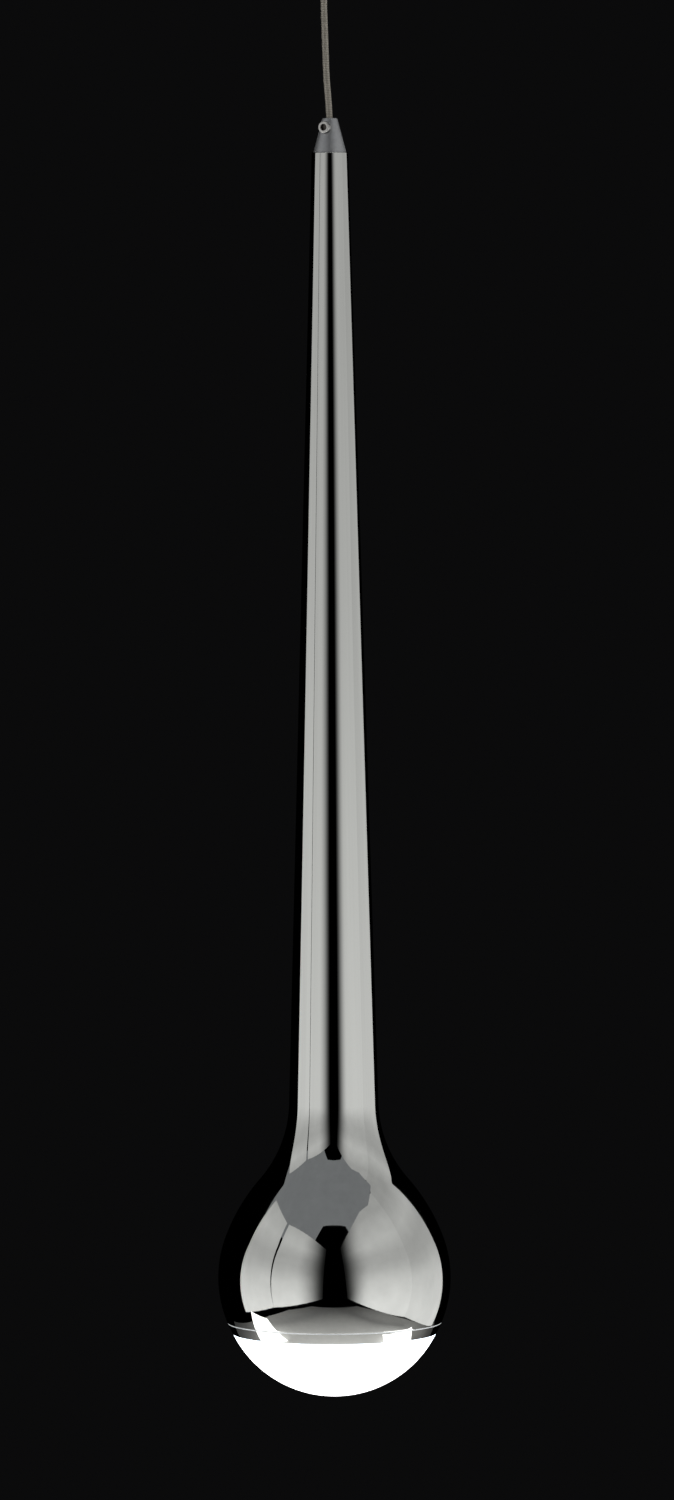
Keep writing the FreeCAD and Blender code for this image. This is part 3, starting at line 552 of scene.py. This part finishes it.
def make_cord():
    """The free cord, from the cap's mouth up to the ball stop in the bush."""
    points = route_points()
    mesh, length = tube_mesh("cord_line", points, CORD_RADIUS)
    cord = finish_mesh("cord_line", mesh, BRAID, "hanging_cord", 60)
    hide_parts("cord")


make_cord()


# ---------------------------------------------------------------- lamp body

def body_outline(wall):
    """The body's outline from rim to shoulder, a wall's thickness inside its skin."""
    neck = Vector((math.cos(NECK_TAPER), math.sin(NECK_TAPER)))
    along = Vector((-neck.y, neck.x))
    shift = SHOULDER_RADIUS - BALL_RADIUS
    shoulder = Vector((-shift * math.cos(SHOULDER_ANGLE), -shift * math.sin(SHOULDER_ANGLE)))
    offset = NECK_TOP_RADIUS * math.cos(NECK_TAPER) + NECK_HEIGHT * math.sin(NECK_TAPER)
    centres = SHOULDER_RADIUS + THROAT_RADIUS
    out = offset + THROAT_RADIUS
    up = shoulder.dot(along) + math.sqrt(centres ** 2 - (out - shoulder.dot(neck)) ** 2)
    throat = neck * out + along * up
    turn = math.atan2(throat.y - shoulder.y, throat.x - shoulder.x)
    rim = (NECK_TOP_RADIUS - wall / math.cos(NECK_TAPER), NECK_HEIGHT)
    throat_arc = arc(throat, THROAT_RADIUS + wall, math.pi + NECK_TAPER, math.pi + turn, 36)
    shoulder_arc = arc(shoulder, SHOULDER_RADIUS - wall, turn, SHOULDER_ANGLE, 44)
    return [rim] + straight(rim, throat_arc[0], 30) + throat_arc + shoulder_arc[1:]


def make_body():
    """The chrome skin, with its inner wall and the land that the ring screws into."""
    rim_radius = math.sqrt(BALL_RADIUS ** 2 - SEAM_DROP ** 2)
    land = rim_radius - LAND_WALL
    land_top = LAND_HEIGHT - SEAM_DROP
    inner_ball = BALL_RADIUS - SHELL_WALL
    seam = -math.asin(SEAM_DROP / BALL_RADIUS)
    outer = body_outline(0)
    ball = arc((0, 0), BALL_RADIUS, SHOULDER_ANGLE, seam, 56)[1:]
    inner_seam = math.asin(land_top / inner_ball)
    inner_arc = arc((0, 0), inner_ball, inner_seam, SHOULDER_ANGLE, 24)[:-1]
    inner = body_outline(SHELL_WALL)[::-1]
    outline = outer + ball
    edge = len(outline) - 1
    outline += [(land, -SEAM_DROP), (land, land_top)] + inner_arc + inner
    outline = rounded(outline, EDGE_ROUND, {0, edge}, 6)
    mesh = turned_mesh("lamp_skin", outline, BALL_LEVEL, FINE_TURN)
    skin = finish_mesh("lamp_skin", mesh, CHROME, "lamp")
    seam_level = BALL_LEVEL - SEAM_DROP
    # Painted highlight: the seam's edge faces get the glowing edge material.
    second_material(mesh, SEAM_PAINTED_HIGHLIGHT, seam_level - MM, seam_level + 0.3 * EDGE_ROUND, land + MM)
    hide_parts("body_shell")


make_body()


# ---------------------------------------------------------------- cord cap and clamp

CAP_HEIGHT = CAP_TOP - NECK_RIM
CAP_TOP_RADIUS = 3.45 * MM
CAP_BASE_RADIUS = 7.7 * MM
CAP_PIVOT_DEPTH = 2.5 * MM
CAP_STUB_RADIUS = 4.0 * MM
CLAMP_DROP = 4.3 * MM
CLAMP_HEAD_RADIUS = 2.75 * MM
CLAMP_HEAD_HEIGHT = 3.0 * MM
CLAMP_SEAT = 4.2 * MM
CLAMP_SHANK_RADIUS = 1.35 * MM
CLAMP_PAD = 0.9 * MM
SOCKET_RADIUS = 1.45 * MM
SOCKET_DEPTH = 0.75 * CLAMP_HEAD_HEIGHT
SOCKET_POINT = 0.4 * MM
# The radius inside which the socket's faces get painted shade.
SOCKET_SHADE_RADIUS = 1.7 * MM
SNUG_MARGIN = 1 * MM
BORE_STEP = 0.2 * MM


def clamp_matrix():
    """Stands a piece built along Z on the clamp screw's line."""
    outward = Vector((-math.sin(CLAMP_ANGLE), -math.cos(CLAMP_ANGLE), 0))
    place = Matrix.Translation((0, 0, CAP_TOP - CLAMP_DROP))
    return place @ outward.to_track_quat("Z", "Y").to_matrix().to_4x4()


def make_cap():
    """The cone on the neck, its mouth open to the cord's swing, with the screw's spot face."""
    mouth = CORD_RADIUS / math.cos(SWING_FRONT) + RUNNING_GAP
    wide = CORD_RADIUS + RUNNING_GAP
    pivot = CAP_HEIGHT - CAP_PIVOT_DEPTH
    snug = CAP_HEIGHT - CLAMP_DROP - CLAMP_SHANK_RADIUS - SNUG_MARGIN
    outline = [
        (CORD_RADIUS, CAP_STUB - NECK_RIM),
        (CAP_STUB_RADIUS, CAP_STUB - NECK_RIM),
        (CAP_STUB_RADIUS, 0),
        (CAP_BASE_RADIUS, 0),
        (CAP_TOP_RADIUS, CAP_HEIGHT),
        (mouth + CAP_PIVOT_DEPTH * math.tan(SWING_FRONT), CAP_HEIGHT),
        (mouth, pivot),
        (wide, pivot - BORE_STEP),
        (wide, snug),
        (CORD_RADIUS, snug),
    ]
    outline = rounded(outline, 0.3 * MM, {3, 4, 5}, 5)
    cap = turned_mesh("cap", outline, NECK_RIM, 160)
    matrix = clamp_matrix()
    bore = cylinder_mesh("bore", CLAMP_SHANK_RADIUS + RUNNING_GAP, 0, 2 * CAP_BASE_RADIUS)
    spot = cylinder_mesh("spot", CLAMP_HEAD_RADIUS + RUNNING_GAP,
                         CLAMP_SEAT - FACE_GAP, 3 * CAP_BASE_RADIUS, 96)
    mesh = cut_mesh(cap, [(bore, matrix), (spot, matrix)])
    mesh.name = "cone_cap"
    mesh.materials.clear()
    piece = finish_mesh("cone_cap", mesh, SATIN, "lamp", 24)
    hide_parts("cord_cap")


def make_clamp_screw():
    """A plain socket head with a rounded rim, a hexagon socket painted dark inside as shade, and a
    plain shank.
    """
    tip = CORD_RADIUS + FACE_GAP + CLAMP_PAD
    top = CLAMP_SEAT + CLAMP_HEAD_HEIGHT
    outline = rounded([
        (0, tip),
        (CLAMP_SHANK_RADIUS, tip),
        (CLAMP_SHANK_RADIUS, CLAMP_SEAT),
        (CLAMP_HEAD_RADIUS, CLAMP_SEAT),
        (CLAMP_HEAD_RADIUS, top),
        (0, top),
    ], 0.45 * MM, {1, 3, 4}, 7)
    head = turned_mesh("head", outline, 0, 96)
    bottom = top - SOCKET_DEPTH
    socket = turned_mesh("socket", [(0, bottom - SOCKET_POINT), (SOCKET_RADIUS, bottom),
                                    (SOCKET_RADIUS, top + MM), (0, top + MM)], 0, 6)
    lead_in = turned_mesh("lead_in", [(0, top - 0.35 * MM), (1.35 * MM, top - 0.35 * MM),
                                      (1.75 * MM, top + 0.15 * MM), (0, top + 0.15 * MM)], 0, 64)
    mesh = cut_mesh(head, [(socket, Matrix()), (lead_in, Matrix())])
    mesh.name = "clamp_screw_head"
    mesh.materials.clear()
    piece = finish_mesh("clamp_screw_head", mesh, SCREW_STEEL, "clamp_knob", 30)
    # Painted shade: the faces inside the hexagon socket get the dark material.
    second_material(mesh, SOCKET_PAINTED_SHADE, bottom - MM, top - 0.1 * MM, outer=SOCKET_SHADE_RADIUS)
    mesh.transform(clamp_matrix())
    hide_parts("clamp_screw")


make_cap()
make_clamp_screw()


# ---------------------------------------------------------------- ring and dome

RING_HEIGHT = 5.3 * MM
RING_BEVEL = 0.35 * MM
SLEEVE_WALL = 1.4 * MM
SLEEVE_HEIGHT = 5.5 * MM
LIP_THICKNESS = 1.2 * MM
LIP_COVER = 1.3 * MM
FLANGE_THICKNESS = 1.0 * MM

RIM_RADIUS = math.sqrt(BALL_RADIUS ** 2 - SEAM_DROP ** 2)
SLEEVE_RADIUS = RIM_RADIUS - LAND_WALL - RUNNING_GAP
SLEEVE_BORE = SLEEVE_RADIUS - SLEEVE_WALL
RING_BOTTOM = -(SEAM_DROP + RING_HEIGHT)
RING_EDGE = math.sqrt(BALL_RADIUS ** 2 - RING_BOTTOM ** 2)
LIP_RADIUS = SLEEVE_BORE - LIP_COVER
LIP_TOP = RING_BOTTOM + LIP_THICKNESS


def make_ring():
    """The trim ring: its face goes on with the ball's round, and a sleeve goes up inside."""
    top = -(SEAM_DROP + FACE_GAP)
    bevel = top - RING_BEVEL
    first = math.asin(RING_BOTTOM / BALL_RADIUS)
    last = math.asin(bevel / BALL_RADIUS)
    skin = arc((0, 0), BALL_RADIUS, first, last, 10)
    outline = [(LIP_RADIUS, RING_BOTTOM)] + skin
    outline += [
        (math.sqrt(BALL_RADIUS ** 2 - bevel ** 2) - RING_BEVEL, top),
        (SLEEVE_RADIUS, top),
        (SLEEVE_RADIUS, SLEEVE_HEIGHT - SEAM_DROP),
        (SLEEVE_BORE, SLEEVE_HEIGHT - SEAM_DROP),
        (SLEEVE_BORE, LIP_TOP),
        (LIP_RADIUS, LIP_TOP),
    ]
    outline = rounded(outline, 0.25 * MM, {0, 1}, 5)
    mesh = turned_mesh("chrome_ring", outline, BALL_LEVEL, FINE_TURN)
    ring = finish_mesh("chrome_ring", mesh, RING_CHROME, "cover_ring")
    # Painted highlight: the ring's top bevel gets the glowing edge material.
    second_material(mesh, SEAM_PAINTED_HIGHLIGHT, BALL_LEVEL + bevel, BALL_LEVEL + top + FACE_GAP,
                    RIM_RADIUS - 2 * RING_BEVEL)
    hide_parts("trim_ring")


def make_dome():
    """The opal dome, with a neck through the ring and a flange that rests on its lip."""
    edge = RING_EDGE - DOME_INSET
    top = RING_BOTTOM - FACE_GAP
    radius = math.hypot(edge, top + DOME_DROP)
    neck = LIP_RADIUS - RUNNING_GAP
    bore = neck - DOME_WALL
    inner = radius - DOME_WALL
    flange_low = LIP_TOP + FACE_GAP
    flange_radius = SLEEVE_BORE - RUNNING_GAP
    outer_end = math.asin((top + DOME_DROP) / radius)
    inner_end = -math.acos(bore / inner)
    centre = (0, -DOME_DROP)
    down = -math.pi / 2
    outline = arc(centre, radius, down, outer_end, 72)
    edge_at = len(outline) - 1
    outline += [
        (neck, top),
        (neck, flange_low),
        (flange_radius, flange_low),
        (flange_radius, flange_low + FLANGE_THICKNESS),
        (bore, flange_low + FLANGE_THICKNESS),
    ]
    outline += arc(centre, inner, inner_end, down, 48)
    outline[0] = (0.0, outline[0][1])
    outline[-1] = (0.0, outline[-1][1])
    outline = rounded(outline, 0.2 * MM, {edge_at}, 4)
    mesh = turned_mesh("opal_dome", outline, BALL_LEVEL, 192)
    dome = finish_mesh("opal_dome", mesh, OPAL, "light_cover")
    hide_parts("diffuser")


make_ring()
make_dome()


# ---------------------------------------------------------------- ceiling fitting

CANOPY_RADIUS = 50 * MM
CANOPY_WALL = 1.2 * MM
CANOPY_ROUNDING = 5 * MM
CANOPY_HEIGHT = -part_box("canopy_cover")[0][2]
BUSH_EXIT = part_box("canopy_bush")[0][2]
BUSH_FLANGE_RADIUS = 9 * MM
BUSH_STEM_RADIUS = 6.5 * MM
STOP_RADIUS = 4 * MM
STOP_RISE = 6 * MM
SIDE_SCREW_DROP = 9 * MM
SIDE_SCREW_RADIUS = 1.5 * MM


def make_canopy():
    """The canopy: a round-bottomed cup, bored for the bush and for the side screws."""
    bend = -(CANOPY_HEIGHT - CANOPY_ROUNDING)
    flat = CANOPY_RADIUS - CANOPY_ROUNDING
    floor = CANOPY_WALL - CANOPY_HEIGHT
    quarter = math.pi / 2
    outline = [(CANOPY_RADIUS - CANOPY_WALL, 0), (CANOPY_RADIUS, 0)]
    outline += arc((flat, bend), CANOPY_ROUNDING, 0, -quarter, 20)
    outline += [(BUSH_STEM_RADIUS, -CANOPY_HEIGHT), (BUSH_STEM_RADIUS, floor)]
    outline += arc((flat, bend), CANOPY_ROUNDING - CANOPY_WALL, -quarter, 0, 16)
    outline = rounded(outline, 0.3 * MM, {0, 1}, 4)
    cup = turned_mesh("cup", outline, 0, 224)
    across = Matrix.Rotation(quarter, 4, "Y")
    across.translation = (0, 0, -SIDE_SCREW_DROP)
    reach = 1.5 * CANOPY_RADIUS
    bore = cylinder_mesh("bore", SIDE_SCREW_RADIUS, -reach, reach)
    mesh = cut_mesh(cup, [(bore, across)])
    mesh.name = "canopy_cup"
    mesh.materials.clear()
    piece = finish_mesh("canopy_cup", mesh, CHROME, "ceiling_fitting")
    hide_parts("canopy_cover")


def make_bush():
    """The cord's bush, with a ball seat inside and a bell mouth below."""
    seat = STOP_RADIUS + RUNNING_GAP
    centre = (0, BUSH_EXIT + STOP_RISE)
    mouth = CORD_RADIUS / math.cos(SWING_SIDE) + 2 * RUNNING_GAP
    slope = math.tan(SWING_SIDE)
    stem_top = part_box("canopy_bush")[1][2]
    # The bell mouth meets the ball seat where mouth + slope * depth = sqrt(seat^2 - depth^2).
    root = math.sqrt(seat ** 2 * (1 + slope ** 2) - mouth ** 2)
    depth = (root - mouth * slope) / (1 + slope ** 2)
    seat_end = -math.asin(depth / seat)
    outline = [
        (mouth + slope * STOP_RISE, BUSH_EXIT),
        (BUSH_FLANGE_RADIUS, BUSH_EXIT),
        (BUSH_FLANGE_RADIUS, -CANOPY_HEIGHT),
        (BUSH_STEM_RADIUS, -CANOPY_HEIGHT),
        (BUSH_STEM_RADIUS, stem_top),
        (seat, stem_top),
    ]
    outline += arc(centre, seat, 0, seat_end, 14)
    outline = rounded(outline, 0.7 * MM, {0, 1}, 6)
    mesh = turned_mesh("bell_bush", outline, 0, 128)
    piece = finish_mesh("bell_bush", mesh, RING_CHROME, "ceiling_fitting")
    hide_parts("canopy_bush")


make_canopy()
make_bush()


# ---------------------------------------------------------------- studio

FLOOR_LEVEL = BALL_LEVEL - 1.25
WIDE_FLOOR = 5.5
BACKDROP_GLOW = 0.0035
OVERHEAD_LEVEL = 1.6
OVERHEAD_STRENGTH = 0.185
LOW_LIGHT_STRENGTH = 2.4
DOWN_LIGHT_WATTS = 13


def stage_sheet(name, corners, material):
    """A flat sheet of the studio. On one of four corners, U runs along its lower edge."""
    mesh = bpy.data.meshes.new(name)
    mesh.from_pydata(corners, [], [range(len(corners))])
    mesh.uv_layers.new(name="UVMap")
    for loop, spot in zip(mesh.uv_layers["UVMap"].data, ((0, 0), (1, 0), (1, 1), (0, 1))):
        loop.uv = spot
    mesh.materials.append(material)
    made = bpy.data.objects.new(name, mesh)
    bpy.context.collection.objects.link(made)
    return made


# The panels' brightness by height: metres, strength.
PANEL_GLOW = [(-1.25, 0.83), (-0.65, 0.66), (-0.47, 0.57), (-0.33, 0.49), (-0.15, 0.43),
              (0.1, 0.42), (0.5, 0.52), (1.3, 0.36)]


def light_material(name, gain, edge_fade=0.0, tint=(1.0, 1.0, 0.985), flat=False):
    """A soft white light cloth: brighter low down, fading in from its first upright edge."""
    made = bpy.data.materials.new(name)
    made.use_nodes = True
    tree = made.node_tree
    tree.nodes.clear()
    output = add_node(tree, "ShaderNodeOutputMaterial")
    light = add_node(tree, "ShaderNodeEmission", Color=(*tint, 1))
    tree.links.new(light.outputs["Emission"], output.inputs["Surface"])
    source = add_node(tree, "ShaderNodeTexCoord")
    strength = spread(tree, noise(tree, source.outputs["Object"], 2.2, 3), 0.95, 1.05)
    strength = combine(tree, "MULTIPLY", strength, gain)
    if not flat:
        split = add_node(tree, "ShaderNodeSeparateXYZ")
        tree.links.new(source.outputs["Object"], split.inputs["Vector"])
        low, high = PANEL_GLOW[0][0], PANEL_GLOW[-1][0]
        height = spread(tree, split.outputs["Z"], 0.0, 1.0, low, high)
        ramp = add_node(tree, "ShaderNodeValToRGB")
        stops = ramp.color_ramp.elements
        while len(stops) < len(PANEL_GLOW):
            stops.new(0.5)
        for stop, (level, glow) in zip(stops, PANEL_GLOW):
            stop.position = (level - low) / (high - low)
            stop.color = (glow, glow, glow, 1)
        tree.links.new(height, ramp.inputs["Fac"])
        strength = combine(tree, "MULTIPLY", strength, ramp.outputs["Color"])
    if edge_fade > 0:
        across = add_node(tree, "ShaderNodeSeparateXYZ")
        tree.links.new(source.outputs["UV"], across.inputs["Vector"])
        fade = add_node(tree, "ShaderNodeMapRange", interpolation_type="SMOOTHSTEP")
        tree.links.new(across.outputs["X"], fade.inputs["Value"])
        fade.inputs["From Max"].default_value = edge_fade
        fade.inputs["To Min"].default_value = 0.02
        strength = combine(tree, "MULTIPLY", strength, fade.outputs["Result"])
    tree.links.new(strength, light.inputs["Strength"])
    return made


def toward(azimuth, distance, level):
    """A place seen from the lamp: azimuth 0 is the camera's side, + is to the right."""
    a = math.radians(azimuth)
    return (distance * math.sin(a), -distance * math.cos(a), level)


def light_panel(name, material, near, far):
    """An upright light panel. near and far: (azimuth low, azimuth high, distance, low, high)."""
    ends = []
    for low_turn, high_turn, distance, low, high in (near, far):
        ends.append((toward(low_turn, distance, low), toward(high_turn, distance, high)))
    corners = [ends[0][0], ends[1][0], ends[1][1], ends[0][1]]
    stage_sheet(name, corners, material).visible_camera = False


def make_world():
    """A nearly black backdrop, which the chrome doesn't mirror."""
    world = bpy.data.worlds.new("studio")
    bpy.context.scene.world = world
    world.use_nodes = True
    backdrop = world.node_tree.nodes["Background"]
    backdrop.inputs["Color"].default_value = (0.95, 0.95, 1.0, 1)
    backdrop.inputs["Strength"].default_value = BACKDROP_GLOW
    world.cycles_visibility.glossy = False
    bpy.context.scene.view_settings.view_transform = "Standard"


def make_panels():
    """Four upright light panels, with a dark way between them in front of the lamp."""
    light_panel("left_panel", light_material("left_light", 1.0, 0.62),
                (-12, -9, 2.4, -1.30, 0.92), (-65, -63.2, 1.75, -1.36, 0.92))
    light_panel("left_back_panel", light_material("left_back_light", 1.0),
                (-65, -66.8, 1.75, -1.36, 0.92), (-107, -104, 1.9, -1.42, 1.05))
    light_panel("right_panel", light_material("right_light", 1.03, 0.45),
                (13, 7, 2.4, -1.28, 1.0), (82, 82, 1.75, -1.62, 2.05))
    light_panel("right_back_panel", light_material("right_back_light", 0.93),
                (82, 82, 1.75, -1.62, 2.05), (138, 118, 2.0, -1.5, 2.5))


def make_overhead():
    """A dim grey panel overhead, which shows on the ball's shoulder."""
    over = light_material("overhead_light", OVERHEAD_STRENGTH, tint=(0.93, 0.96, 1.0), flat=True)
    level = OVERHEAD_LEVEL
    corners = [(-3.2, 0.9, level), (1.42, 0.9, level), (1.42, -1.0, level),
               (2.5, -1.6, level), (1.5, -3.0, level), (0.55, -1.95, level),
               (-0.55, -1.95, level), (-1.5, -3.0, level), (-3.0, -2.2, level)]
    stage_sheet("overhead_panel", corners, over).visible_camera = False


def make_low_lights():
    """Two small soft lights close to the floor, one on each side."""
    bright = light_material("low_light", LOW_LIGHT_STRENGTH, flat=True)
    base = FLOOR_LEVEL + 2 * MM
    light_panel("left_low_panel", bright,
                (-71, -78.6, 1.0, base, -1.231), (-113, -97.7, 1.48, base, -1.27))
    light_panel("right_low_panel", bright,
                (84, 65.7, 0.9, base, -1.6), (123, 100.8, 1.49, base, -1.64))


def make_floor():
    """A pale floor, clear from below. The chrome mirrors its near part only."""
    floor, tree, shader = new_material("pale_floor", (0.78, 0.77, 0.75), 0.0, 0.6)
    grain = noise(tree, object_place(tree), 6, 4)
    tone = two_colors(tree, grain, (0.74, 0.73, 0.71), (0.80, 0.79, 0.77))
    tree.links.new(tone, shader.inputs["Base Color"])
    side = add_node(tree, "ShaderNodeNewGeometry")
    clear = add_node(tree, "ShaderNodeBsdfTransparent")
    one_way = add_node(tree, "ShaderNodeMixShader")
    output = tree.nodes["Material Output"]
    tree.links.new(side.outputs["Backfacing"], one_way.inputs["Fac"])
    tree.links.new(shader.outputs["BSDF"], one_way.inputs[1])
    tree.links.new(clear.outputs["BSDF"], one_way.inputs[2])
    tree.links.new(one_way.outputs["Shader"], output.inputs["Surface"])
    level = FLOOR_LEVEL
    corners = [(-2.2, 2.7, level), (-2.23, -0.57, level), (-2.02, -1.75, level),
               (-1.22, -2.82, level), (1.22, -2.82, level), (1.93, -1.63, level),
               (2.13, -0.2, level), (2.1, 2.7, level)]
    stage_sheet("floor", corners, floor)
    wide = [toward(turn, WIDE_FLOOR, level - 2 * MM) for turn in range(0, 360, 6)]
    stage_sheet("wide_floor", wide, floor).visible_glossy = False


def make_down_light():
    """The lamp's own light on the floor: a disc of light just below the dome."""
    data = bpy.data.lights.new("down_light", "AREA")
    data.shape = "DISK"
    data.size = 2 * LIP_RADIUS
    data.energy = DOWN_LIGHT_WATTS
    light = bpy.data.objects.new("down_light", data)
    light.location = (0, 0, BALL_LEVEL - 1.1 * BALL_RADIUS)
    light.visible_camera = False
    bpy.context.collection.objects.link(light)


make_world()
make_panels()
make_overhead()
make_low_lights()
make_floor()
make_down_light()
